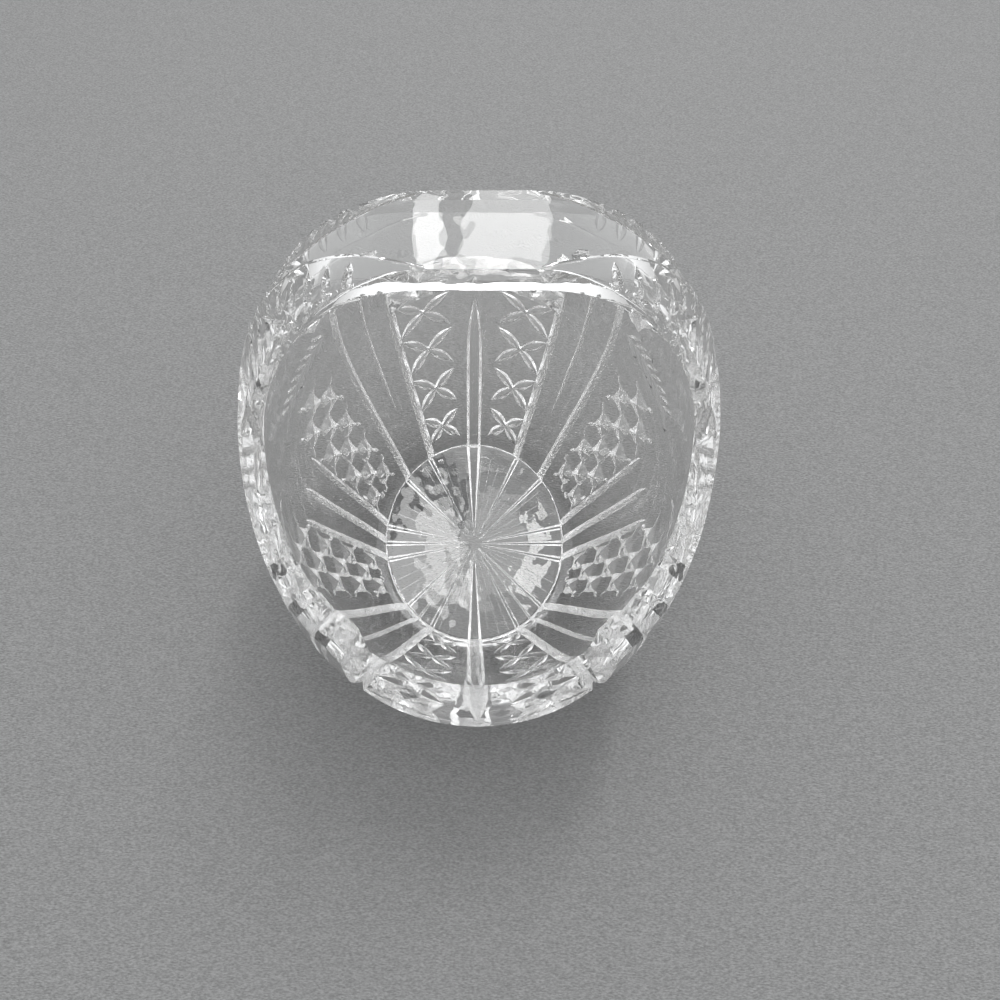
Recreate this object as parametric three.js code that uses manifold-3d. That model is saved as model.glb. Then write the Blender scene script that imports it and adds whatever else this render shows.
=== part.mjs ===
// Cut crystal basket: an egg-shaped glass blank on an oval foot. A mouth is cut away at the
// front and at the back, which leaves the bowl and the broad handle bridging it.
// Millimetres, +Z up. Origin at the middle of the foot. +X runs along the handle's span.

import * as THREE from 'three';
import { mergeVertices } from 'three/addons/utils/BufferGeometryUtils.js';
import Module from 'manifold-3d';

const wasm = await Module();
wasm.setup();

// Outer form, half-widths measured along X
const FOOT_HALF_WIDTH = 39.5;
const BELLY_HALF_WIDTH = 72;
const BELLY_HEIGHT = 84;
const OVERALL_HEIGHT = 184;
const CROWN_HALF_LENGTH = 15; // flat panel on top of the handle
const HEEL_FLARE = 6.5;
const HEEL_RISE = 0.3; // heights of the wall curve's two handles, over the belly's
const BELLY_RISE = 0.67;
const SHOULDER_FULLNESS = 0.46;
const CROWN_FULLNESS = 0.735;
const OVAL = 1.204; // length along Y over width along X

// Glass thickness
const FLOOR_THICKNESS = 13;
const FLOOR_CORNER = 4;
const FLOOR_CORNER_RISE = 1;
const FLOOR_OVAL = 1.21; // the cavity's oval low down; higher up END_WALL sets it
const SIDE_WALL = 7;
const END_WALL = 12; // front and back walls at the belly
const HANDLE_THICKNESS = 6;

// Handle
const HANDLE_WIDTH = 22;
const HANDLE_ROOT_WIDTH = 27;
const HANDLE_ROOT_HEIGHT = 136; // where the handle is parted from the bowl
const PARTING_GAP = 0.3;

// Side facets of the handle at each bend from the crown down: [half-width left flat, drop at
// the edge]
const HANDLE_FACET = [
  [10.5, 0.2],
  [5.1, 2],
  [1.7, 2.4],
  [0.8, 2.8],
  [0.6, 3],
  [0.6, 3],
];

// Side view of a mouth, measured out from the handle's root and up from the shoulder
const MOUTH_LEAN = 3;
const MOUTH_RISE = 14;
const MOUTH_BEND = 14;
const MOUTH_END = 34;

// Rim: the front and back lips are low, with a step up to a scalloped shoulder on each side.
// [degrees from the front or back, height]
const LIP_HEIGHT = 79;
const SHOULDER_HEIGHT = 104;
const RIM = [
  [0, LIP_HEIGHT],
  [12, LIP_HEIGHT - 0.5],
  [22, LIP_HEIGHT - 1.6],
  [31, LIP_HEIGHT - 3.2],
  [32, SHOULDER_HEIGHT - 4],
  [35.5, SHOULDER_HEIGHT],
  [40, SHOULDER_HEIGHT - 4],
  [44.5, SHOULDER_HEIGHT - 1],
  [49, SHOULDER_HEIGHT - 5.5],
  [54, SHOULDER_HEIGHT - 3],
  [59, SHOULDER_HEIGHT - 6.5],
  [66, SHOULDER_HEIGHT + 6],
];
const RIM_CUT_START = 0.45; // where the cut above the rim starts, over the belly's half-width

// Cut pattern: angles in degrees from +X, heights above the table
const CUT_DEPTH = 2.2;
const CUT_SLOPE = 1.15; // half-width of a mitre cut over its depth
const WIDE_SLOPE = 2; // the same for the middle flute of the front and of the back
const CUT_TIP = 0.1; // how far the pointed end of a cut is lifted clear of the wall
const FLUTE_GROUP_ANGLE = 50; // the diagonal groups, measured from the side
const SIDE_FLUTE_STEP = 9.6;
const DIAGONAL_FLUTE_STEP = 10;
const FLUTE_FOOT = -2; // below the table, so that a flute runs out through the foot
const MIDDLE_FLUTE_FOOT = 29; // where the middle flute of each back group runs out
const SIDE_FLUTE_TOP = 57;
const DIAGONAL_FLUTE_TOP = 112;
const END_FLUTE_TOP = 72;
const FLUTE_FADE = 0.1; // share of a flute's length over which its top runs out
const CROSS_COLUMN_ANGLE = 18.8; // columns of crosses, measured from the front or back
const CROSS_FOOT = 17.1;
const CROSS_PITCH = 15.7;
const CROSS_COUNT = 4;
const CROSS_TURN = 10.2; // half the angle an arm spans
const CROSS_RISE = 6.2; // half the height of the lowest cross
const CROSS_RISE_GROWTH = 0.5;
const LATTICE_ANGLE = 21.8; // middle of each lattice panel, measured from the side
const LATTICE_COLUMN_STEP = 6.2;
const LATTICE_FOOT = 19.2;
const LATTICE_ROW = 6.8;
const LATTICE_LAST_ROW = 7;
const LATTICE_TAIL = 0.6; // how far a cut runs past its last crossing, in columns
const LATTICE_DEPTH = 1.6;
const STAR_HUB = 0.06; // where a ray starts, as a share of the foot
const STAR_REACH = 1.04;

// Fineness of the faceted solid
const AROUND = 56;
const RINGS_UP = 8;
const PROFILE_STEPS = 120;
const MOUTH_STEPS = 10;
const FLUTE_STEPS = 6;
const CROSS_STEPS = 4;
const CUT_OVERRUN = 1.5; // how far a cutter stands out of the surface
const CLEAR = 10; // how far a cutter runs past the blank
const radians = THREE.MathUtils.degToRad;
const lerp = THREE.MathUtils.lerp;

// Profile of the blank

const domeRise = OVERALL_HEIGHT - BELLY_HEIGHT;
const wallCurve = new THREE.CubicBezierCurve(
  new THREE.Vector2(FOOT_HALF_WIDTH, 0),
  new THREE.Vector2(FOOT_HALF_WIDTH + HEEL_FLARE, BELLY_HEIGHT * HEEL_RISE),
  new THREE.Vector2(BELLY_HALF_WIDTH, BELLY_HEIGHT * BELLY_RISE),
  new THREE.Vector2(BELLY_HALF_WIDTH, BELLY_HEIGHT),
);
const domeCurve = new THREE.CubicBezierCurve(
  new THREE.Vector2(BELLY_HALF_WIDTH, BELLY_HEIGHT),
  new THREE.Vector2(BELLY_HALF_WIDTH, BELLY_HEIGHT + domeRise * SHOULDER_FULLNESS),
  new THREE.Vector2(BELLY_HALF_WIDTH * CROWN_FULLNESS, OVERALL_HEIGHT),
  new THREE.Vector2(CROWN_HALF_LENGTH, OVERALL_HEIGHT),
);

function outerPoints(rings) {
  return [...wallCurve.getPoints(rings), ...domeCurve.getPoints(rings).slice(1)];
}

function glassThickness(height) {
  const rise = THREE.MathUtils.clamp((height - BELLY_HEIGHT) / domeRise, 0, 1);
  return lerp(SIDE_WALL, HANDLE_THICKNESS, rise);
}

// The cavity's profile lies one glass thickness inside the outer one, above the floor
function innerPoints(rings) {
  const outer = outerPoints(rings);
  const inner = [];
  for (let i = 1; i < outer.length; i++) {
    const along = outer[Math.min(i + 1, outer.length - 1)].clone().sub(outer[i - 1]).normalize();
    const inward = new THREE.Vector2(-along.y, along.x);
    const point = outer[i].clone().addScaledVector(inward, glassThickness(outer[i].y));
    if (point.y > FLOOR_THICKNESS + FLOOR_CORNER_RISE) inner.push(point);
  }
  const floorEdge = new THREE.Vector2(inner[0].x - FLOOR_CORNER, FLOOR_THICKNESS);
  return [floorEdge, ...inner];
}

const profileTable = outerPoints(PROFILE_STEPS);

function radiusAt(height) {
  const next = profileTable.findIndex((point) => point.y >= height);
  if (next < 0) return CROWN_HALF_LENGTH;
  if (next === 0) return FOOT_HALF_WIDTH;
  const [low, high] = [profileTable[next - 1], profileTable[next]];
  return lerp(low.x, high.x, (height - low.y) / (high.y - low.y));
}

function wallPoint(angle, height) {
  const radius = radiusAt(height);
  return new THREE.Vector3(radius * Math.cos(angle), OVAL * radius * Math.sin(angle), height);
}

function wallNormal(angle, height) {
  const slope = radiusAt(height + 0.5) - radiusAt(height - 0.5);
  return new THREE.Vector3(Math.cos(angle), Math.sin(angle) / OVAL, -slope).normalize();
}

// Solids

function solidFrom(geometry) {
  geometry.deleteAttribute('normal');
  geometry.deleteAttribute('uv');
  const merged = mergeVertices(geometry, 1e-4);
  return new wasm.Manifold(new wasm.Mesh({
    numProp: 3,
    vertProperties: new Float32Array(merged.attributes.position.array),
    triVerts: new Uint32Array(merged.index.array),
  }));
}

function geometryFrom(solid) {
  const mesh = solid.getMesh();
  const geometry = new THREE.BufferGeometry();
  geometry.setAttribute('position', new THREE.BufferAttribute(mesh.vertProperties, 3));
  geometry.setIndex(new THREE.BufferAttribute(mesh.triVerts, 1));
  geometry.computeVertexNormals();
  return geometry;
}

// A profile turned round Z and stretched along Y by the oval for each height
function ovalLathe(profile, ovalAt) {
  const first = profile[0];
  const last = profile[profile.length - 1];
  const closed = [new THREE.Vector2(0, first.y), ...profile, new THREE.Vector2(0, last.y)];
  const lathe = new THREE.LatheGeometry(closed, AROUND);
  lathe.rotateX(Math.PI / 2);
  const position = lathe.attributes.position;
  for (let i = 0; i < position.count; i++) {
    position.setY(i, position.getY(i) * ovalAt(position.getZ(i)));
  }
  return solidFrom(lathe);
}

function box(width, length, height, x, y, z) {
  return solidFrom(new THREE.BoxGeometry(width, length, height).translate(x, y, z));
}

function joined(solids) {
  return solids.reduce((sum, solid) => sum.add(solid));
}

// A solid through a row of rings, each with the same number of corners. The corners of a
// ring run clockwise when seen from the next ring.
function loft(rings) {
  const corners = rings[0].length;
  const faces = [];
  for (let corner = 1; corner < corners - 1; corner++) {
    const end = corners * (rings.length - 1);
    faces.push(0, corner, corner + 1);
    faces.push(end, end + corner + 1, end + corner);
  }
  for (let i = 0; i < rings.length - 1; i++) {
    for (let corner = 0; corner < corners; corner++) {
      const a = corners * i + corner;
      const b = corners * i + ((corner + 1) % corners);
      faces.push(a, a + corners, b, b, a + corners, b + corners);
    }
  }
  const positions = rings.flat().flatMap((point) => point.toArray());
  const geometry = new THREE.BufferGeometry();
  geometry.setAttribute('position', new THREE.Float32BufferAttribute(positions, 3));
  geometry.setIndex(faces);
  const solid = solidFrom(geometry);
  if (solid.volume() > 0) return solid;
  return loft(rings.map((ring) => [...ring].reverse()));
}

// A mitre cut: a triangular section swept along points on the wall, apex inward.
// stations hold a point, the outward normal there and the depth of the cut.
function mitreCut(stations, slope) {
  return loft(stations.map(({ point, normal, depth }, i) => {
    const before = stations[Math.max(i - 1, 0)].point;
    const after = stations[Math.min(i + 1, stations.length - 1)].point;
    const across = after.clone().sub(before).cross(normal).normalize();
    const reach = (depth + CUT_OVERRUN) * slope;
    const top = point.clone().addScaledVector(normal, CUT_OVERRUN);
    return [
      point.clone().addScaledVector(normal, -depth),
      top.clone().addScaledVector(across, reach),
      top.clone().addScaledVector(across, -reach),
    ];
  }));
}

// A cut between two places on the wall, each [angle in degrees, height]
function wallCut(from, to, steps, depthAt, slope = CUT_SLOPE) {
  const stations = [];
  for (let i = 0; i <= steps; i++) {
    const t = i / steps;
    const angle = radians(lerp(from[0], to[0], t));
    const height = lerp(from[1], to[1], t);
    stations.push({ point: wallPoint(angle, height), normal: wallNormal(angle, height), depth: depthAt(t) });
  }
  return mitreCut(stations, slope);
}

const leafDepth = (depth) => (t) => depth * (1 - (2 * t - 1) ** 2) - CUT_TIP;

function fluteDepth(t) {
  const faded = Math.max(0, (t - 1 + FLUTE_FADE) / FLUTE_FADE);
  return CUT_DEPTH * (1 - faded ** 2) - CUT_TIP;
}

// Pointed at its lower end too
function middleDepth(t) {
  return fluteDepth(t) * Math.min(1, FLUTE_STEPS * t) - CUT_TIP;
}

// Cut pattern

const BACK_GROUPS = [FLUTE_GROUP_ANGLE, 180 - FLUTE_GROUP_ANGLE];
const FRONT_GROUPS = [FLUTE_GROUP_ANGLE - 180, -FLUTE_GROUP_ANGLE];

// Every flute that reaches the foot as [angle, top, slope of its sides]
function flutePlan() {
  const plan = [];
  for (const side of [0, 180]) {
    for (const step of [-1, 0, 1]) {
      plan.push([side + step * SIDE_FLUTE_STEP, SIDE_FLUTE_TOP, CUT_SLOPE]);
    }
  }
  for (const group of [...BACK_GROUPS, ...FRONT_GROUPS]) {
    for (const step of [-1, 1]) {
      plan.push([group + step * DIAGONAL_FLUTE_STEP, DIAGONAL_FLUTE_TOP, CUT_SLOPE]);
    }
  }
  for (const group of FRONT_GROUPS) plan.push([group, DIAGONAL_FLUTE_TOP, CUT_SLOPE]);
  for (const end of [90, 270]) plan.push([end, END_FLUTE_TOP, WIDE_SLOPE]);
  return plan;
}

function flutes() {
  const full = flutePlan().map(([angle, top, slope]) => (
    wallCut([angle, FLUTE_FOOT], [angle, top], FLUTE_STEPS, fluteDepth, slope)
  ));
  const short = BACK_GROUPS.map((angle) => (
    wallCut([angle, MIDDLE_FLUTE_FOOT], [angle, DIAGONAL_FLUTE_TOP], FLUTE_STEPS, middleDepth)
  ));
  return [...full, ...short];
}

// A ray of the star under the foot, in line with a flute
function starRay(angle) {
  const direction = new THREE.Vector3(Math.cos(angle), OVAL * Math.sin(angle), 0);
  const down = new THREE.Vector3(0, 0, -1);
  const place = (share, depth) => ({
    point: direction.clone().multiplyScalar(FOOT_HALF_WIDTH * share),
    normal: down,
    depth,
  });
  return mitreCut([place(STAR_HUB, CUT_TIP), place(STAR_REACH, CUT_DEPTH)], CUT_SLOPE);
}

function star() {
  return flutePlan().map(([angle]) => starRay(radians(angle)));
}

function crosses() {
  const cuts = [];
  for (const end of [90, 270]) {
    for (const side of [-1, 1]) {
      for (let i = 0; i < CROSS_COUNT; i++) {
        const height = CROSS_FOOT + i * CROSS_PITCH;
        const angle = end + side * CROSS_COLUMN_ANGLE;
        const rise = CROSS_RISE + i * CROSS_RISE_GROWTH;
        for (const turn of [-CROSS_TURN, CROSS_TURN]) {
          const [start, stop] = [[angle - turn, height - rise], [angle + turn, height + rise]];
          cuts.push(wallCut(start, stop, CROSS_STEPS, leafDepth(CUT_DEPTH)));
        }
      }
    }
  }
  return cuts;
}

// Each lattice has crossings on three columns, the outer two half a row out of step
function lattice(middle) {
  const cuts = [];
  for (const lean of [-1, 1]) {
    for (let row = -2; row < LATTICE_LAST_ROW; row += 2) {
      const first = row < 0 ? 1 : -1;
      const last = row + 2 > LATTICE_LAST_ROW ? 0 : 1;
      const place = (column) => [
        middle + lean * column * LATTICE_COLUMN_STEP,
        LATTICE_FOOT + (row + 1 + column) * LATTICE_ROW,
      ];
      const [start, stop] = [place(first - LATTICE_TAIL), place(last + LATTICE_TAIL)];
      cuts.push(wallCut(start, stop, 2 + 2 * (last - first), leafDepth(LATTICE_DEPTH)));
    }
  }
  return cuts;
}

function lattices() {
  const middles = [LATTICE_ANGLE, 180 - LATTICE_ANGLE, 180 + LATTICE_ANGLE, -LATTICE_ANGLE];
  return middles.flatMap(lattice);
}

// Mouths and rim

// Half of the side view of a mouth, from the handle's root down to the shoulder
function mouthCurve() {
  const rootHalf = HANDLE_ROOT_WIDTH / 2;
  return new THREE.CubicBezierCurve(
    new THREE.Vector2(rootHalf, HANDLE_ROOT_HEIGHT),
    new THREE.Vector2(rootHalf + MOUTH_LEAN, SHOULDER_HEIGHT + MOUTH_RISE),
    new THREE.Vector2(rootHalf + MOUTH_BEND, SHOULDER_HEIGHT),
    new THREE.Vector2(rootHalf + MOUTH_END, SHOULDER_HEIGHT),
  );
}

function mouth(side) {
  const far = BELLY_HALF_WIDTH * OVAL + CLEAR;
  const above = OVERALL_HEIGHT + CLEAR;
  const outline = new THREE.Shape();
  outline.moveTo(HANDLE_WIDTH / 2, above);
  outline.lineTo(HANDLE_WIDTH / 2, OVERALL_HEIGHT);
  mouthCurve().getPoints(MOUTH_STEPS).forEach((point) => outline.lineTo(point.x, point.y));
  outline.lineTo(far, SHOULDER_HEIGHT);
  outline.lineTo(far, above);
  const reach = 2 * (BELLY_HALF_WIDTH + CLEAR);
  const cutter = new THREE.ExtrudeGeometry(outline, { depth: reach, bevelEnabled: false });
  cutter.translate(0, 0, -reach / 2);
  cutter.rotateX(Math.PI / 2);
  cutter.rotateZ(Math.PI / 2 * side);
  return solidFrom(cutter);
}

// What is cut away above the rim, as radial sections from one shoulder to the other
function rimCut(end) {
  const inner = BELLY_HALF_WIDTH * RIM_CUT_START;
  const outer = BELLY_HALF_WIDTH + CLEAR;
  const top = SHOULDER_HEIGHT + CLEAR;
  const mirrored = [...RIM].reverse().slice(0, -1).map(([turn, height]) => [-turn, height]);
  return loft([...mirrored, ...RIM].map(([turn, height]) => {
    const angle = radians(end + turn);
    const corner = (radius, z) => (
      new THREE.Vector3(radius * Math.cos(angle), OVAL * radius * Math.sin(angle), z)
    );
    return [corner(inner, height), corner(outer, height), corner(outer, top), corner(inner, top)];
  }));
}

// A facet down one side of one half of the handle
function handleFacet(half, side) {
  const edge = HANDLE_ROOT_WIDTH / 2 + 1;
  const bends = domeCurve.getPoints(RINGS_UP).reverse();
  return loft(HANDLE_FACET.map(([flat, drop], i) => {
    const bend = bends[i];
    const place = (y, lift) => {
      const angle = Math.asin(y / (OVAL * bend.x));
      const normal = wallNormal(angle, bend.y);
      const point = wallPoint(angle, bend.y).addScaledVector(normal, lift);
      return new THREE.Vector3(half * point.x, side * point.y, point.z);
    };
    return [place(flat, 0), place(edge, -drop), place(edge, CUT_OVERRUN), place(flat, CUT_OVERRUN)];
  }));
}

// Assembly

function cavityOval(height) {
  const atBelly = (BELLY_HALF_WIDTH * OVAL - END_WALL) / (BELLY_HALF_WIDTH - SIDE_WALL);
  return lerp(FLOOR_OVAL, atBelly, Math.min(height / BELLY_HEIGHT, 1));
}

function blank() {
  const outer = ovalLathe(outerPoints(RINGS_UP), () => OVAL);
  const cavity = ovalLathe(innerPoints(RINGS_UP), cavityOval);
  return outer.subtract(cavity).subtract(mouth(1)).subtract(mouth(-1));
}

function above(height) {
  const size = 4 * OVERALL_HEIGHT;
  return box(size, size, size, 0, 0, height + size / 2);
}

function handleFacets() {
  return [-1, 1].flatMap((half) => [-1, 1].map((side) => handleFacet(half, side)));
}

const wholeBlank = blank();
const bowl = wholeBlank
  .subtract(above(HANDLE_ROOT_HEIGHT))
  .subtract(joined([rimCut(90), rimCut(270)]))
  .subtract(joined([...flutes(), ...star(), ...crosses(), ...lattices()]));
const handle = wholeBlank
  .intersect(above(HANDLE_ROOT_HEIGHT + PARTING_GAP))
  .subtract(joined(handleFacets()));

function glass(name, solid) {
  const material = new THREE.MeshStandardMaterial({
    color: 0xe9eef0,
    roughness: 0.02,
    metalness: 0,
    transparent: true,
    opacity: 0.35,
  });
  const mesh = new THREE.Mesh(geometryFrom(solid), material);
  mesh.name = name;
  return mesh;
}

const basket = new THREE.Group();
basket.add(glass('bowl', bowl));
basket.add(glass('handle', handle));

export default basket;
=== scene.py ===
"""Cut crystal basket on a pale floor, seen from above the front lip.

The glass is one closed mesh: an oval blank, two mouths, a stepped rim, a bevelled handle and
mitre cuts in the traditional flute, cross, lattice, feather and star pattern. Sizes are in
millimetres and angles in degrees from +X until a mesh is made. Materials and lights are in
metres.
"""

import math

import bmesh
import bpy
import numpy as np
from mathutils import Matrix, Vector


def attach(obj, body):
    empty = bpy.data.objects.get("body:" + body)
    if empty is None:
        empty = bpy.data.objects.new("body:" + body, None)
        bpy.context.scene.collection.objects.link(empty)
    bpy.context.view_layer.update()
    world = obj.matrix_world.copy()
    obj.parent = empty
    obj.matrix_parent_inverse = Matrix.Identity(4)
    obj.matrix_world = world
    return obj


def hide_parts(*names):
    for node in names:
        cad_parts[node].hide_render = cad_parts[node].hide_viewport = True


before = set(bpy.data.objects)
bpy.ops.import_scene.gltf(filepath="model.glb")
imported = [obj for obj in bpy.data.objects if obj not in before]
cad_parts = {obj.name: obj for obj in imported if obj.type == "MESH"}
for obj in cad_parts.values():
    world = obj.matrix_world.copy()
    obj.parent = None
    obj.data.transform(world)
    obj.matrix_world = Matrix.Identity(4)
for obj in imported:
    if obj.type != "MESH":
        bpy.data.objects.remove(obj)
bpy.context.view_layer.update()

MM = 0.001

# Outer form, half-widths measured along X
FOOT_HALF_WIDTH = 39.5
BELLY_HALF_WIDTH = 72.0
BELLY_HEIGHT = 84.0
OVERALL_HEIGHT = 184.0
CROWN_HALF_LENGTH = 15.0
HEEL_FLARE = 6.5
HEEL_RISE = 0.3  # heights of the wall curve's two control points, over the belly's
BELLY_RISE = 0.67
SHOULDER_FULLNESS = 0.46  # height of the dome curve's first control point, over the dome's
CROWN_FULLNESS = 0.735  # half-width at its second one, over the belly's
OVAL = 1.204  # length along Y over width along X

# Glass thickness
FLOOR_THICKNESS = 13.0
FLOOR_CORNER = 0.45
FLOOR_DISH = 0.8  # how far the middle of the floor lies below its edge
DISH_POWER = 3
DISH_EYE = 0.1  # share of the floor's radius inside the dish's first ring
FLOOR_OVAL = 1.21  # the cavity's oval low down; higher up END_WALL sets it
SIDE_WALL = 7.0
END_WALL = 12.0
HANDLE_THICKNESS = 6.0

# Handle
HANDLE_WIDTH = 22.0
HANDLE_ROOT_WIDTH = 27.0
HANDLE_ROOT_HEIGHT = 136.0
BEVEL_OVERHANG = 1.0  # how far the bevels' cutters reach past the handle's widest place
HANDLE_EDGE = HANDLE_ROOT_WIDTH / 2 + BEVEL_OVERHANG
HANDLE_BENDS = 8  # equal shares of the dome's curve, counted from the crown down
# At each bend: (half-width left flat, drop at the edge)
HANDLE_FACET = ((10.5, 0.2), (5.1, 2), (1.7, 2.4), (0.8, 2.8), (0.6, 3), (0.6, 3))
CREASE_BENDS = 3
CREASE_DEPTH = 0.45
CREASE_WIDTH = 0.9
BEVEL_CROSS = (2.4, 3.4)  # bends between which the crosses lie on the handle's bevels
BEVEL_CROSS_WIDTH = (0.2, 0.85)  # and their share of the bevel, from its crease to its edge
BEVEL_CROSS_DEPTH = 2.2
NOTCH_BENDS = (1.0, 4.4)  # the same for the notches between the crosses and the crown
NOTCH_COUNT = 9
NOTCH_WIDTH = (0.15, 1.0)
NOTCH_LEAN = 0.3  # bends from a notch's start to its end
NOTCH_DEPTH = 1.7

# Rim, from the middle of a lip: (degrees round from it, height)
LIP_HEIGHT = 79.0
SHOULDER_HEIGHT = 104.0
RIM_CUT_START = 0.45  # share of the belly's half-width
RIM = (
    (0, LIP_HEIGHT),
    (12, LIP_HEIGHT - 0.5),
    (22, LIP_HEIGHT - 1.6),
    (31, LIP_HEIGHT - 3.2),
    (32, SHOULDER_HEIGHT - 4),
    (35.5, SHOULDER_HEIGHT),
    (40, SHOULDER_HEIGHT - 4),
    (44.5, SHOULDER_HEIGHT - 1),
    (49, SHOULDER_HEIGHT - 5.5),
    (54, SHOULDER_HEIGHT - 3),
    (59, SHOULDER_HEIGHT - 6.5),
    (66, SHOULDER_HEIGHT + 6),
)

# The mouth's curve from the handle's root down to the shoulder
MOUTH_LEAN = 3
MOUTH_RISE = 14
MOUTH_BEND = 14
MOUTH_END = 34

# Cut pattern. The section of a cut says how wide it is on either side over its depth, and where
# its sides change slope: share of the half-width, share of the depth.
PLAIN = (0.5, 0.5)
STEPPED = (0.6, 0.75)
FLUTE_SECTION = (0.95, *PLAIN)
FLUTE_FOOT = -2.0  # low enough to run out through the foot
FLUTE_FADE = 0.1  # share of a flute's length over which its top runs out
FLUTE_GROUP_ANGLE = 50
DIAGONAL_FLUTE_STEP = 10.0
DIAGONAL_FLUTE_TOP = 112
DIAGONAL_FLUTE_DEPTH = 2.1
MIDDLE_FLUTE_DEPTH = 1.2
MIDDLE_FLUTE_FOOT = 29.0  # where the back middle flutes run out
MIDDLE_FLUTE_POINT = 0.25  # share of their length that tapers
SIDE_FLUTE_STEP = 9.6
SIDE_FLUTE_TOP = 57
SIDE_FLUTE_DEPTH = 1.9
END_FLUTE_TOP = 68
END_FLUTE_DEPTH = 2.4
END_FLUTE_SECTION = (1.5, *STEPPED)
END_FLUTE_FADE = 0.35
LEAF_WAIST = 0.4  # least depth of a cross's leaf along its run, over its full depth
STAR_WAIST = 0.18  # the same between two crossings of a lattice
LEAF_POWER = 4  # the higher, the blunter the points of both
TIP = 0.1  # how far the pointed end of a cut is lifted clear of the surface
CROSS_SECTION = (1.0, *STEPPED)
CROSS_COLUMN_ANGLE = 18.8
CROSS_DEPTH = 2.4
CROSS_FOOT = 17.1
CROSS_PITCH = 15.7
CROSS_COUNT = 4
CROSS_TURN = 10.2  # from a cross's middle to the points of its leaves
CROSS_RISE = 6.2
CROSS_RISE_GROWTH = 0.5  # from one cross to the next above it
LATTICE_SECTION = (1.3, *PLAIN)
LATTICE_ANGLE = 21.8
LATTICE_COLUMN_STEP = 6.2
LATTICE_FOOT = 19.2
LATTICE_ROW = 6.8
LATTICE_LAST_ROW = 7
LATTICE_TAIL = 0.87  # how far a leaf runs past its last crossing, in columns
LATTICE_DEPTH = 3.3
FEATHER_RIB = ((37, 86), (13, 81))  # (degrees from the side, height) at its ends
FEATHER_BARBS = 8
FEATHER_TURN = 5.5  # from a barb's root to its point
FEATHER_RISE = 5.5
FEATHER_DEPTH = 1.3
FEATHER_SECTION = (0.9, *PLAIN)
STAR_HUB = 0.07  # where the rays begin and end, in shares of the foot
STAR_REACH = 1.04
RAY_SECTION = (0.9, *STEPPED)
SIDE_RAY_DEPTH = 1.6
DIAGONAL_RAY_DEPTH = 1.3
MIDDLE_RAY_DEPTH = 0.8
END_RAY_DEPTH = 2.3
END_RAY_SECTION = (1.45, *STEPPED)
HAIR_RAY_DEPTH = 0.12
HAIR_RAY_STEP = 7
HAIR_RAY_ROOM = 3.5  # degrees kept clear beside each broad ray
# Where the hair rays begin and end, in shares of the foot: (first share, step, steps)
HAIR_RAY_START = (0.06, 0.03, 5)
HAIR_RAY_REACH = (0.95, -0.07, 6)
HAIR_RAY_SHUFFLE = (7, 11)  # factors that take the steps out of order

# Glass
GLASS_TINT = (0.99, 0.987, 0.98, 1)
GLASS_SHADOW = (0.45, 0.45, 0.45, 1)
GLASS_INDEX = 1.545
# Finish: range of roughness, spots and ripples per metre, height of the ripples in metres
POLISHED = ((0.0, 0.02), 150, 60, 0.0002)
WHEEL_CUT = ((0.04, 0.27), 500, 800, 0.0003)
SPOT_DETAIL = 3
RIPPLE_DETAIL = 2
NOISE_RANGE = (0.3, 0.7)  # where most of a noise lies

# Cloth, its weave and nap in waves per metre
CLOTH_DARK = (0.138, 0.138, 0.137, 1)
CLOTH_LIGHT = (0.25, 0.25, 0.249, 1)
CLOTH_ROUGHNESS = 0.9
CLOTH_STRETCH = (1, 2.5, 1)
WEAVE = (900, 4)  # and the detail of its noise
NAP = (700, 2)
NAP_STRENGTH = 0.8
NAP_HEIGHT = 0.0005

# The ground that carries the cloth
STAGE_REACH = 3000
STAGE_DROP = 0.4

# Light
ROOM_BRIGHT_SIDE = (0, 0.45, 0.9)  # points to where the room is brightest
ROOM_DIM = (0.22, 0.218, 0.214, 1)
ROOM_BRIGHT = (0.95, 0.965, 0.98, 1)
ROOM_BRIGHT_FROM = 0.75  # dot product with it from which the room is brightest
ROOM_STRENGTH = 1.4
LIGHT_AIM = Vector((0, 0, 0.1))
# Name, place, width, height and watts. The bowl's floor mirrors the upper panes and the handle
# the lower ones.
SOFTBOXES = (
    ("upper_left", (-0.08, 0.469, 1.2), 0.13, 0.32, 0.65),
    ("upper_middle", (0.065, 0.475, 1.2), 0.15, 0.32, 0.33),
    ("upper_right", (0.235, 0.54, 1.17), 0.105, 0.5, 5),
    ("lower_left", (-0.104, 0.849, 0.949), 0.068, 0.295, 0.33),
    ("lower_right", (0.084, 0.849, 0.949), 0.19, 0.295, 0.65),
    ("ceiling", (0, -0.1, 1.4), 1.1, 0.6, 2.4),
)
LIGHT_BOUNCES = 40

# Fineness
AROUND = 240
WALL_RINGS = 40
DOME_RINGS = 32
BEVEL_STEPS = 4  # in each bend of the handle
DISH_RINGS = 16
CORNER_RINGS = 8
MOUTH_STEPS = 40
FLUTE_STEPS = 40
LEAF_STEPS = 12
BARB_STEPS = 4
SLOPE_REACH = 0.5  # up and down from where a slope is measured
CUT_OVERRUN = 1.5  # how far a cutter stands out of the surface
CLEAR = 10.0  # how far the cutters of the mouths and the rim stand clear of the glass
SHARP_ANGLE = 7.5

# Photograph
IMAGE_SIZE = 1000
FOCAL_PIXELS = 751.0
SENSOR_MM = 36.0
CAMERA_ELEVATION = 65.0
CAMERA_DISTANCE = 325.0
CAMERA_X = -3.5
BASE_ROW = 547.5  # pixel row where the middle of the foot shows
SHIFT_PIXELS = 34.1  # how far left of the middle of the frame the object sits
CLIP_START = 0.01  # in metres


# Profile

def bezier_at(corners, t):
    a, b, c, d = (np.array(corner, float) for corner in corners)
    return (1 - t) ** 3 * a + 3 * (1 - t) ** 2 * t * b + 3 * (1 - t) * t ** 2 * c + t ** 3 * d


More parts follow.
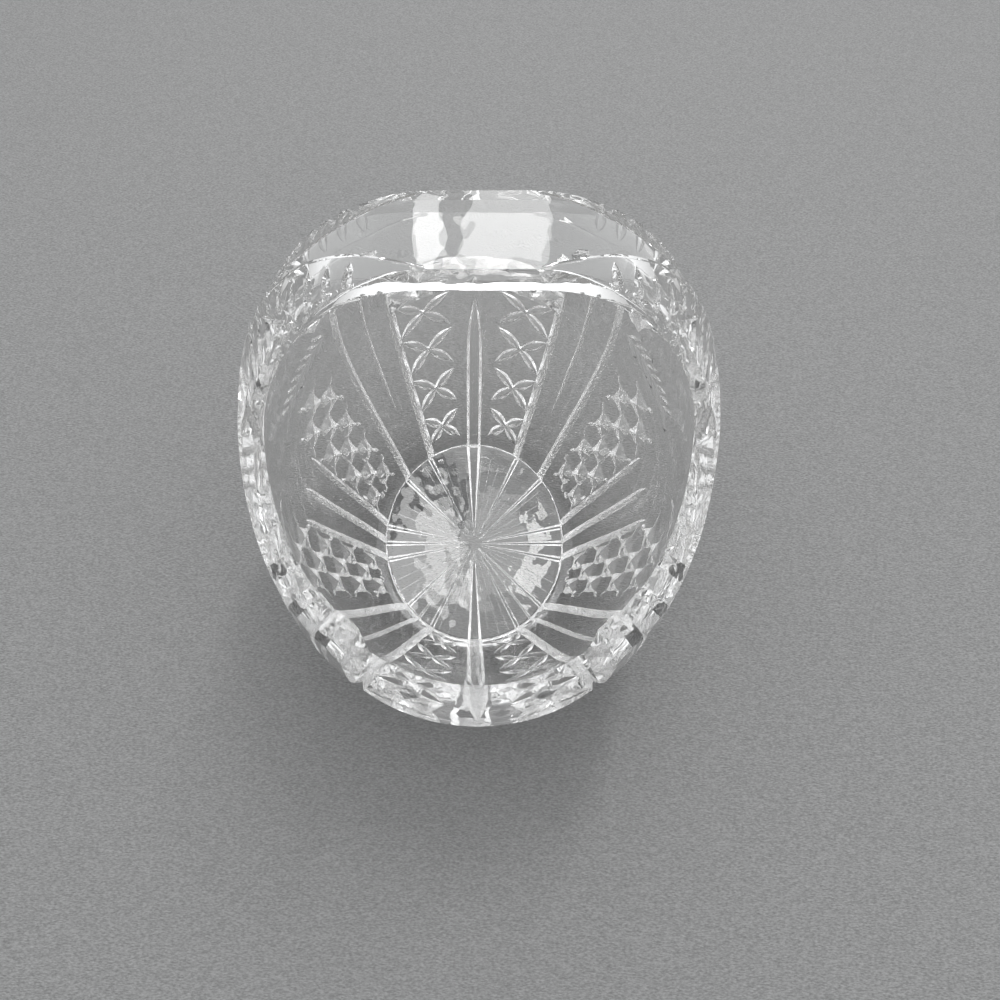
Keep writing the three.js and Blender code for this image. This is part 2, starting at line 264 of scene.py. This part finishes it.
def bezier(corners, count):
    return bezier_at(corners, np.linspace(0, 1, count + 1)[:, None])


DOME_RISE = OVERALL_HEIGHT - BELLY_HEIGHT
WALL_CURVE = (
    (FOOT_HALF_WIDTH, 0),
    (FOOT_HALF_WIDTH + HEEL_FLARE, BELLY_HEIGHT * HEEL_RISE),
    (BELLY_HALF_WIDTH, BELLY_HEIGHT * BELLY_RISE),
    (BELLY_HALF_WIDTH, BELLY_HEIGHT),
)
DOME_CURVE = (
    (BELLY_HALF_WIDTH, BELLY_HEIGHT),
    (BELLY_HALF_WIDTH, BELLY_HEIGHT + DOME_RISE * SHOULDER_FULLNESS),
    (BELLY_HALF_WIDTH * CROWN_FULLNESS, OVERALL_HEIGHT),
    (CROWN_HALF_LENGTH, OVERALL_HEIGHT),
)


def outer_points():
    return np.vstack([bezier(WALL_CURVE, WALL_RINGS), bezier(DOME_CURVE, DOME_RINGS)[1:]])


def inner_points():
    """One glass thickness inside the outer profile, above the floor, with a rounded corner."""
    outer = outer_points()
    inner = []
    for i in range(1, len(outer)):
        along = outer[min(i + 1, len(outer) - 1)] - outer[i - 1]
        along /= np.linalg.norm(along)
        rise = np.clip((outer[i][1] - BELLY_HEIGHT) / DOME_RISE, 0, 1)
        thickness = SIDE_WALL + (HANDLE_THICKNESS - SIDE_WALL) * rise
        point = outer[i] + thickness * np.array((-along[1], along[0]))
        if point[1] > FLOOR_THICKNESS + FLOOR_CORNER:
            inner.append(point)
    first, second = inner[0], inner[1]
    slope = (second - first) / (second - first)[1]
    corner = first - slope * (first[1] - FLOOR_THICKNESS)
    reach = corner[0] - FLOOR_CORNER
    radii = np.linspace(DISH_EYE, 1, DISH_RINGS)[:, None] * reach
    dish = np.hstack([radii, FLOOR_THICKNESS - FLOOR_DISH * (1 - (radii / reach) ** DISH_POWER)])
    t = np.linspace(0, 1, CORNER_RINGS)[1:-1, None]
    fillet = (1 - t) ** 2 * dish[-1] + 2 * (1 - t) * t * corner + t ** 2 * first
    return np.vstack([dish, fillet, inner])


PROFILE = outer_points()


def radius_at(height):
    return float(np.interp(height, PROFILE[:, 1], PROFILE[:, 0]))


def wall_point(degrees, height):
    angle, radius = math.radians(degrees), radius_at(height)
    return Vector((radius * math.cos(angle), OVAL * radius * math.sin(angle), height))


def wall_normal(degrees, height):
    angle = math.radians(degrees)
    slope = (radius_at(height + SLOPE_REACH) - radius_at(height - SLOPE_REACH)) / (2 * SLOPE_REACH)
    return Vector((math.cos(angle), math.sin(angle) / OVAL, -slope)).normalized()


# Meshes

def new_object(name, vertices, faces):
    """A closed mesh in metres, its faces turned outward."""
    mesh = bpy.data.meshes.new(name)
    mesh.from_pydata([Vector(v) * MM for v in vertices], [], faces)
    shape = bmesh.new()
    shape.from_mesh(mesh)
    bmesh.ops.recalc_face_normals(shape, faces=shape.faces)
    if shape.calc_volume(signed=True) < 0:
        bmesh.ops.reverse_faces(shape, faces=shape.faces)
    shape.to_mesh(mesh)
    shape.free()
    obj = bpy.data.objects.new(name, mesh)
    bpy.context.scene.collection.objects.link(obj)
    return obj


def oval_lathe(name, profile, ovals):
    """A profile turned round Z, each of its rings stretched along Y by its own oval."""
    turns = np.linspace(0, 2 * math.pi, AROUND, endpoint=False)
    vertices = [
        (r * math.cos(a), oval * r * math.sin(a), z)
        for (r, z), oval in zip(profile, ovals) for a in turns
    ]
    faces = []
    for ring in range(len(profile) - 1):
        for i in range(AROUND):
            a, b = ring * AROUND + i, ring * AROUND + (i + 1) % AROUND
            faces.append((a, b, b + AROUND, a + AROUND))
    last = (len(profile) - 1) * AROUND
    faces.append(tuple(range(AROUND - 1, -1, -1)))
    faces.append(tuple(range(last, last + AROUND)))
    return new_object(name, vertices, faces)


def loft(name, rings):
    """A solid through a row of rings that have the same number of corners."""
    corners = len(rings[0])
    faces = [tuple(range(corners)), tuple(range(corners * (len(rings) - 1), corners * len(rings)))]
    for i in range(len(rings) - 1):
        for corner in range(corners):
            a = corners * i + corner
            b = corners * i + (corner + 1) % corners
            faces.append((a, b, b + corners, a + corners))
    return new_object(name, [point for ring in rings for point in ring], faces)


def apply_modifiers(obj):
    graph = bpy.context.evaluated_depsgraph_get()
    mesh = bpy.data.meshes.new_from_object(obj.evaluated_get(graph))
    obj.modifiers.clear()
    obj.data = mesh


def subtract(obj, cutters, finish=None):
    """Takes the cutters out of obj and deletes them. The faces they leave get the finish."""
    group = bpy.data.collections.new("cutters")
    bpy.context.scene.collection.children.link(group)
    for cutter in cutters:
        group.objects.link(cutter)
        if finish:
            cutter.data.materials.append(finish)
    modifier = obj.modifiers.new("cut", "BOOLEAN")
    modifier.operation = "DIFFERENCE"
    modifier.operand_type = "COLLECTION"
    modifier.solver = "MANIFOLD"
    modifier.collection = group
    modifier.material_mode = "TRANSFER"
    apply_modifiers(obj)
    for cutter in cutters:
        bpy.data.objects.remove(cutter)
    bpy.data.collections.remove(group)


# Cuts

def mitre_cut(stations, section):
    """A groove swept through stations, each (point, normal, depth)."""
    slope, wide, deep = section
    rings = []
    for i, (point, normal, depth) in enumerate(stations):
        before = stations[max(i - 1, 0)][0]
        after = stations[min(i + 1, len(stations) - 1)][0]
        across = (after - before).cross(normal).normalized()
        bend = point - normal * depth * deep
        near = across * depth * slope * wide
        top = point + normal * CUT_OVERRUN
        far = across * slope * (depth + CUT_OVERRUN * (1 - wide) / deep)
        rings.append((point - normal * depth, bend + near, top + far, top - far, bend - near))
    return loft("cut", rings)


def wall_cut(start, stop, steps, depth_at, section):
    """A cut between two places on the wall, each (degrees, height)."""
    stations = []
    for i in range(steps + 1):
        t = i / steps
        degrees = start[0] + (stop[0] - start[0]) * t
        height = start[1] + (stop[1] - start[1]) * t
        stations.append((wall_point(degrees, height), wall_normal(degrees, height), depth_at(t)))
    return mitre_cut(stations, section)


def leaf(depth):
    """Pointed at both ends, and shallow in the middle where it crosses another."""
    def depth_at(t):
        swell = abs(math.sin(2 * math.pi * t))
        return depth * (1 - (2 * t - 1) ** LEAF_POWER) * (LEAF_WAIST + (1 - LEAF_WAIST) * swell) - TIP
    return depth_at


def row_of_stars(depth, first, last):
    """Pointed at both ends, and deepest at each whole number between first and last."""
    def depth_at(t):
        swell = abs(math.cos(math.pi * (first + (last - first) * t)))
        return depth * (1 - (2 * t - 1) ** LEAF_POWER) * (STAR_WAIST + (1 - STAR_WAIST) * swell) - TIP
    return depth_at


def tapered(depth):
    """Pointed at both ends and deepest in the middle."""
    return lambda t: depth * (1 - (2 * t - 1) ** 2) - TIP


def round_ended(depth, fade):
    """Full depth from the start, and a round end over the last share of the length."""
    return lambda t: depth * (1 - max(0, (t - 1 + fade) / fade) ** 2) - TIP


SIDES = (0, 180)
ENDS = (90, 270)
BACK_GROUPS = (FLUTE_GROUP_ANGLE, 180 - FLUTE_GROUP_ANGLE)
FRONT_GROUPS = (-FLUTE_GROUP_ANGLE, FLUTE_GROUP_ANGLE - 180)


def side_turns():
    return [side + step * SIDE_FLUTE_STEP for side in SIDES for step in (-1, 0, 1)]


def diagonal_turns():
    return [group + step * DIAGONAL_FLUTE_STEP for group in BACK_GROUPS + FRONT_GROUPS for step in (-1, 1)]


def flute(degrees, top, depth, section=FLUTE_SECTION, fade=FLUTE_FADE):
    return wall_cut((degrees, FLUTE_FOOT), (degrees, top), FLUTE_STEPS, round_ended(depth, fade), section)


def middle_flute(degrees, foot):
    """Runs down from the rim and ends above the foot in a long point."""
    def depth_at(t):
        return MIDDLE_FLUTE_DEPTH * min(1, t / MIDDLE_FLUTE_POINT) - TIP
    return wall_cut((degrees, foot), (degrees, DIAGONAL_FLUTE_TOP), FLUTE_STEPS, depth_at, FLUTE_SECTION)


def flutes():
    cuts = [flute(turn, SIDE_FLUTE_TOP, SIDE_FLUTE_DEPTH) for turn in side_turns()]
    cuts += [flute(turn, DIAGONAL_FLUTE_TOP, DIAGONAL_FLUTE_DEPTH) for turn in diagonal_turns()]
    cuts += [flute(turn, END_FLUTE_TOP, END_FLUTE_DEPTH, END_FLUTE_SECTION, END_FLUTE_FADE) for turn in ENDS]
    cuts += [flute(turn, DIAGONAL_FLUTE_TOP, MIDDLE_FLUTE_DEPTH) for turn in FRONT_GROUPS]
    cuts += [middle_flute(turn, MIDDLE_FLUTE_FOOT) for turn in BACK_GROUPS]
    return cuts


def star_ray(degrees, depth, section=RAY_SECTION, start=STAR_HUB, reach=STAR_REACH):
    angle = math.radians(degrees)
    direction = Vector((math.cos(angle), OVAL * math.sin(angle), 0)) * FOOT_HALF_WIDTH
    down = Vector((0, 0, -1))
    return mitre_cut([(direction * start, down, TIP), (direction * reach, down, depth)], section)


def star():
    rays = [star_ray(turn, SIDE_RAY_DEPTH) for turn in side_turns()]
    rays += [star_ray(turn, DIAGONAL_RAY_DEPTH) for turn in diagonal_turns()]
    rays += [star_ray(turn, END_RAY_DEPTH, END_RAY_SECTION) for turn in ENDS]
    rays += [star_ray(turn, MIDDLE_RAY_DEPTH) for turn in FRONT_GROUPS]
    return rays


def hair_rays():
    """Fine scratches left by polishing, between the broad rays of the star."""
    broad = side_turns() + diagonal_turns() + list(ENDS) + list(FRONT_GROUPS)
    rays = []
    for turn in range(0, 360, HAIR_RAY_STEP):
        nearest = min(abs((turn - other + 180) % 360 - 180) for other in broad)
        if nearest > HAIR_RAY_ROOM:
            start, reach = (
                first + step * (turn * shuffle % steps)
                for (first, step, steps), shuffle in zip((HAIR_RAY_START, HAIR_RAY_REACH), HAIR_RAY_SHUFFLE)
            )
            rays.append(star_ray(turn, HAIR_RAY_DEPTH, RAY_SECTION, start, reach))
    return rays


def crosses():
    """A column on either side of the broad flute at each end."""
    cuts = []
    for end in ENDS:
        for side in (-1, 1):
            middle = end + side * CROSS_COLUMN_ANGLE
            for i in range(CROSS_COUNT):
                height = CROSS_FOOT + i * CROSS_PITCH
                rise = CROSS_RISE + i * CROSS_RISE_GROWTH
                for lean in (-1, 1):
                    start = (middle - lean * CROSS_TURN, height - rise)
                    stop = (middle + lean * CROSS_TURN, height + rise)
                    cuts.append(wall_cut(start, stop, 2 * LEAF_STEPS, leaf(CROSS_DEPTH), CROSS_SECTION))
    return cuts


def lattice(middle):
    """Crossings on three columns, the outer two half a row out of step.

    The lowest leaves begin past the outer column, and the highest end past the middle one.
    """
    cuts = []
    for lean in (-1, 1):
        for row in range(-2, LATTICE_LAST_ROW, 2):
            first = (1 if row < 0 else -1) - LATTICE_TAIL
            last = (0 if row + 2 > LATTICE_LAST_ROW else 1) + LATTICE_TAIL
            ends = []
            for column in (first, last):
                height = LATTICE_FOOT + (row + 1 + column) * LATTICE_ROW
                ends.append((middle + lean * column * LATTICE_COLUMN_STEP, height))
            steps = round(LEAF_STEPS * (last - first))
            depth_at = row_of_stars(LATTICE_DEPTH, first, last)
            cuts.append(wall_cut(ends[0], ends[1], steps, depth_at, LATTICE_SECTION))
    return cuts


def lattices():
    cuts = []
    for middle in (LATTICE_ANGLE, 180 - LATTICE_ANGLE, 180 + LATTICE_ANGLE, -LATTICE_ANGLE):
        cuts += lattice(middle)
    return cuts


def feather(angle_at):
    """A rib near the shoulder with pairs of short barbs."""
    (start_turn, start_height), (stop_turn, stop_height) = FEATHER_RIB
    start, stop = (angle_at(start_turn), start_height), (angle_at(stop_turn), stop_height)
    depth_at = tapered(FEATHER_DEPTH)
    cuts = [wall_cut(start, stop, LEAF_STEPS, depth_at, FEATHER_SECTION)]
    for i in range(FEATHER_BARBS):
        t = (i + 0.5) / FEATHER_BARBS
        root = (start[0] + (stop[0] - start[0]) * t, start[1] + (stop[1] - start[1]) * t)
        for lean in (-1, 1):
            turn = math.copysign(FEATHER_TURN, stop[0] - start[0])
            end = (root[0] + turn, root[1] + lean * FEATHER_RISE)
            cuts.append(wall_cut(root, end, BARB_STEPS, depth_at, FEATHER_SECTION))
    return cuts


def feathers():
    """One over each lattice."""
    mirrors = (lambda a: a, lambda a: 180 - a, lambda a: -a, lambda a: a - 180)
    return [cut for mirror in mirrors for cut in feather(mirror)]


# Mouths, rim and handle

def mouth(side):
    """Cuts away the front or back of the dome, down to the shoulders."""
    root = HANDLE_ROOT_WIDTH / 2
    curve = bezier((
        (root, HANDLE_ROOT_HEIGHT),
        (root + MOUTH_LEAN, SHOULDER_HEIGHT + MOUTH_RISE),
        (root + MOUTH_BEND, SHOULDER_HEIGHT),
        (root + MOUTH_END, SHOULDER_HEIGHT),
    ), MOUTH_STEPS)
    far, above = BELLY_HALF_WIDTH * OVAL + CLEAR, OVERALL_HEIGHT + CLEAR
    half = HANDLE_WIDTH / 2
    outline = [(half, above), (half, OVERALL_HEIGHT), *curve, (far, SHOULDER_HEIGHT), (far, above)]
    reach = BELLY_HALF_WIDTH + CLEAR
    return loft("mouth", [[(x, side * y, z) for y, z in outline] for x in (-reach, reach)])


def rim_cut(end):
    """What is cut away above the rim, as radial sections from one shoulder to the other."""
    inner, outer = BELLY_HALF_WIDTH * RIM_CUT_START, BELLY_HALF_WIDTH + CLEAR
    top = SHOULDER_HEIGHT + CLEAR
    rings = []
    for turn, height in [(-turn, height) for turn, height in RIM[:0:-1]] + list(RIM):
        angle = math.radians(end + turn)
        across, along = math.cos(angle), OVAL * math.sin(angle)
        corners = ((inner, height), (outer, height), (outer, top), (inner, top))
        rings.append([(r * across, r * along, z) for r, z in corners])
    return loft("rim", rings)


def handle_spot(half, side, bend, y, lift=0):
    """A point over the handle's curve, bend steps down from the crown, and the normal there."""
    radius, height = bezier_at(DOME_CURVE, 1 - bend / HANDLE_BENDS)
    degrees = math.degrees(math.asin(y / (OVAL * radius)))
    normal = wall_normal(degrees, height)
    point = wall_point(degrees, height) + normal * lift
    mirror = Vector((half, side, 1))
    return point * mirror, normal * mirror


def facet_at(bend):
    """Half-width left flat and drop at the edge, between the bends too."""
    flats, drops = zip(*HANDLE_FACET)
    bends = range(len(HANDLE_FACET))
    return np.interp(bend, bends, flats), np.interp(bend, bends, drops)


def bevel_spot(half, side, bend, across, depth):
    """A place on a bevel of the handle, across from 0 at its crease to 1 at its edge."""
    flat, drop = facet_at(bend)
    point, normal = handle_spot(half, side, bend, flat + (HANDLE_EDGE - flat) * across, -drop * across)
    return point, normal, depth


def handle_facet(half, side):
    """A bevel down one side of one half of the handle."""
    rings = []
    for step in range((len(HANDLE_FACET) - 1) * BEVEL_STEPS + 1):
        bend = step / BEVEL_STEPS
        flat, drop = facet_at(bend)
        corners = ((flat, 0), (HANDLE_EDGE, -drop), (HANDLE_EDGE, CUT_OVERRUN), (flat, CUT_OVERRUN))
        rings.append([handle_spot(half, side, bend, y, lift)[0] for y, lift in corners])
    return loft("facet", rings)


def crease(half, side):
    """A fine groove where the handle's middle panel meets a bevel."""
    bends = [step / BEVEL_STEPS for step in range(CREASE_BENDS * BEVEL_STEPS + 1)]
    spots = [bevel_spot(half, side, bend, 0, CREASE_DEPTH) for bend in bends]
    return mitre_cut(spots, (CREASE_WIDTH, *STEPPED))


def bevel_cut(half, side, start, stop, depth):
    """A leaf on a bevel between two places, each (bend, share of the bevel)."""
    stations = []
    depth_at = tapered(depth)
    for i in range(LEAF_STEPS + 1):
        t = i / LEAF_STEPS
        bend = start[0] + (stop[0] - start[0]) * t
        across = start[1] + (stop[1] - start[1]) * t
        stations.append(bevel_spot(half, side, bend, across, depth_at(t)))
    return mitre_cut(stations, CROSS_SECTION)


def bevel_cross(half, side):
    (above, below), (near, far) = BEVEL_CROSS, BEVEL_CROSS_WIDTH
    return [
        bevel_cut(half, side, (above, near), (below, far), BEVEL_CROSS_DEPTH),
        bevel_cut(half, side, (above, far), (below, near), BEVEL_CROSS_DEPTH),
    ]


def notches(half, side):
    first, last = NOTCH_BENDS
    cuts = []
    for i in range(NOTCH_COUNT):
        bend = first + (last - first) * i / (NOTCH_COUNT - 1)
        start, stop = (bend, NOTCH_WIDTH[0]), (bend + NOTCH_LEAN, NOTCH_WIDTH[1])
        cuts.append(bevel_cut(half, side, start, stop, NOTCH_DEPTH))
    return cuts


def handle_cuts():
    cuts = []
    for half in (-1, 1):
        for side in (-1, 1):
            cuts += [crease(half, side)] + bevel_cross(half, side) + notches(half, side)
    return cuts


def cavity():
    """Leaves the walls thicker at the ends than at the sides."""
    at_belly = (BELLY_HALF_WIDTH * OVAL - END_WALL) / (BELLY_HALF_WIDTH - SIDE_WALL)
    profile = inner_points()
    heights = np.minimum(profile[:, 1] / BELLY_HEIGHT, 1)
    return oval_lathe("cavity", profile, FLOOR_OVAL + (at_belly - FLOOR_OVAL) * heights)


def basket():
    glass = oval_lathe("basket", PROFILE, [OVAL] * len(PROFILE))
    polished, cut = crystal("crystal", POLISHED), crystal("cut_crystal", WHEEL_CUT)
    glass.data.materials.append(polished)
    subtract(glass, [cavity()])
    subtract(glass, [mouth(1), mouth(-1)] + [rim_cut(end) for end in ENDS])
    subtract(glass, [handle_facet(half, side) for half in (-1, 1) for side in (-1, 1)])
    subtract(glass, flutes() + star() + hair_rays() + crosses() + lattices() + feathers(), cut)
    subtract(glass, handle_cuts())
    glass.data.shade_smooth()
    glass.data.set_sharp_from_angle(angle=math.radians(SHARP_ANGLE))
    return glass


# Materials

def material(name):
    made = bpy.data.materials.new(name)
    made.use_nodes = True
    nodes = made.node_tree.nodes
    return made, nodes, made.node_tree.links, nodes["Principled BSDF"]


def noise(nodes, links, scale, detail, stretch=(1, 1, 1)):
    """Noise fixed to the object, its scale in waves per metre."""
    place = nodes.new("ShaderNodeTexCoord")
    mapping = nodes.new("ShaderNodeMapping")
    mapping.inputs["Scale"].default_value = stretch
    texture = nodes.new("ShaderNodeTexNoise")
    texture.inputs["Scale"].default_value = scale
    texture.inputs["Detail"].default_value = detail
    links.new(place.outputs["Object"], mapping.inputs["Vector"])
    links.new(mapping.outputs["Vector"], texture.inputs["Vector"])
    return texture.outputs["Fac"]


def ranged(nodes, links, value, low, high):
    """Spreads a noise over the range from low to high."""
    spread = nodes.new("ShaderNodeMapRange")
    spread.inputs["From Min"].default_value, spread.inputs["From Max"].default_value = NOISE_RANGE
    spread.inputs["To Min"].default_value = low
    spread.inputs["To Max"].default_value = high
    links.new(value, spread.inputs["Value"])
    return spread.outputs["Result"]


def bumped(nodes, links, shader, height, strength, distance):
    bump = nodes.new("ShaderNodeBump")
    bump.inputs["Strength"].default_value = strength
    bump.inputs["Distance"].default_value = distance
    links.new(height, bump.inputs["Height"])
    links.new(bump.outputs["Normal"], shader.inputs["Normal"])


def crystal(name, finish):
    """Clear lead glass. Light on its way to the floor passes straight through it."""
    made, nodes, links, shader = material(name)
    (low, high), spots, ripples, depth = finish
    shader.inputs["Base Color"].default_value = GLASS_TINT
    shader.inputs["Transmission Weight"].default_value = 1
    shader.inputs["IOR"].default_value = GLASS_INDEX
    spotting = noise(nodes, links, spots, SPOT_DETAIL)
    links.new(ranged(nodes, links, spotting, low, high), shader.inputs["Roughness"])
    rippling = noise(nodes, links, ripples, RIPPLE_DETAIL)
    bumped(nodes, links, shader, rippling, strength=1, distance=depth)
    clear = nodes.new("ShaderNodeBsdfTransparent")
    clear.inputs["Color"].default_value = GLASS_SHADOW
    path = nodes.new("ShaderNodeLightPath")
    either = nodes.new("ShaderNodeMath")
    either.operation = "MAXIMUM"
    links.new(path.outputs["Is Shadow Ray"], either.inputs[0])
    links.new(path.outputs["Is Diffuse Ray"], either.inputs[1])
    mix = nodes.new("ShaderNodeMixShader")
    links.new(either.outputs[0], mix.inputs["Fac"])
    links.new(shader.outputs[0], mix.inputs[1])
    links.new(clear.outputs[0], mix.inputs[2])
    links.new(mix.outputs[0], nodes["Material Output"].inputs["Surface"])
    return made


def floor_cloth():
    made, nodes, links, shader = material("floor")
    shade = nodes.new("ShaderNodeValToRGB")
    for element, position, color in zip(shade.color_ramp.elements, NOISE_RANGE, (CLOTH_DARK, CLOTH_LIGHT)):
        element.position = position
        element.color = color
    links.new(noise(nodes, links, *WEAVE, CLOTH_STRETCH), shade.inputs["Fac"])
    links.new(shade.outputs["Color"], shader.inputs["Base Color"])
    bumped(nodes, links, shader, noise(nodes, links, *NAP, CLOTH_STRETCH), NAP_STRENGTH, NAP_HEIGHT)
    shader.inputs["Roughness"].default_value = CLOTH_ROUGHNESS
    return made


# Scene

def stage():
    square = ((-1, -1), (1, -1), (1, 1), (-1, 1))
    corners = [(x * STAGE_REACH, y * STAGE_REACH, -STAGE_DROP) for x, y in square]
    mesh = bpy.data.meshes.new("floor")
    mesh.from_pydata([Vector(c) * MM for c in corners], [], [(0, 1, 2, 3)])
    floor = bpy.data.objects.new("floor", mesh)
    bpy.context.scene.collection.objects.link(floor)
    mesh.materials.append(floor_cloth())


def softbox(name, place, width, height, watts):
    light = bpy.data.lights.new(name, "AREA")
    light.shape = "RECTANGLE"
    light.size, light.size_y = width, height
    light.energy = watts
    obj = bpy.data.objects.new(name, light)
    obj.location = place
    obj.rotation_euler = (LIGHT_AIM - Vector(place)).to_track_quat("-Z", "Y").to_euler()
    bpy.context.scene.collection.objects.link(obj)


def room():
    """A pale studio dome, brightest overhead and at the back, dim low down at the front."""
    world = bpy.data.worlds.new("room")
    world.use_nodes = True
    nodes, links = world.node_tree.nodes, world.node_tree.links
    place = nodes.new("ShaderNodeTexCoord")
    lean = nodes.new("ShaderNodeVectorMath")
    lean.operation = "DOT_PRODUCT"
    lean.inputs[1].default_value = ROOM_BRIGHT_SIDE
    ramp = nodes.new("ShaderNodeValToRGB")
    dim, bright = ramp.color_ramp.elements
    dim.color = ROOM_DIM
    bright.color = ROOM_BRIGHT
    bright.position = ROOM_BRIGHT_FROM
    links.new(place.outputs["Generated"], lean.inputs[0])
    links.new(lean.outputs["Value"], ramp.inputs["Fac"])
    links.new(ramp.outputs["Color"], nodes["Background"].inputs["Color"])
    nodes["Background"].inputs["Strength"].default_value = ROOM_STRENGTH
    bpy.context.scene.world = world


def lights():
    for box in SOFTBOXES:
        softbox(*box)


def light_paths():
    """Lets light bounce often enough inside the cuts, where it is totally reflected."""
    cycles = bpy.context.scene.cycles
    cycles.max_bounces = cycles.transmission_bounces = cycles.glossy_bounces = LIGHT_BOUNCES
    bpy.context.scene.view_settings.view_transform = "Standard"


def camera():
    tilt = math.radians(CAMERA_ELEVATION)
    forward = Vector((0, math.cos(tilt), -math.sin(tilt)))
    up = Vector((0, math.sin(tilt), math.cos(tilt)))
    drop = (IMAGE_SIZE / 2 - BASE_ROW) / FOCAL_PIXELS * CAMERA_DISTANCE
    place = (Vector((CAMERA_X, 0, 0)) - forward * CAMERA_DISTANCE - up * drop) * MM
    lens = bpy.data.cameras.new("camera")
    lens.sensor_width = SENSOR_MM
    lens.lens = FOCAL_PIXELS / IMAGE_SIZE * SENSOR_MM
    lens.shift_x = SHIFT_PIXELS / IMAGE_SIZE
    lens.clip_start = CLIP_START
    obj = bpy.data.objects.new("camera", lens)
    turn = Matrix((Vector((1, 0, 0)), up, -forward)).transposed()
    obj.matrix_world = Matrix.Translation(place) @ turn.to_4x4()
    bpy.context.scene.collection.objects.link(obj)
    bpy.context.scene.camera = obj


light_paths()
camera()
stage()
room()
lights()
glass = basket()
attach(glass, "root")
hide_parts("bowl", "handle")
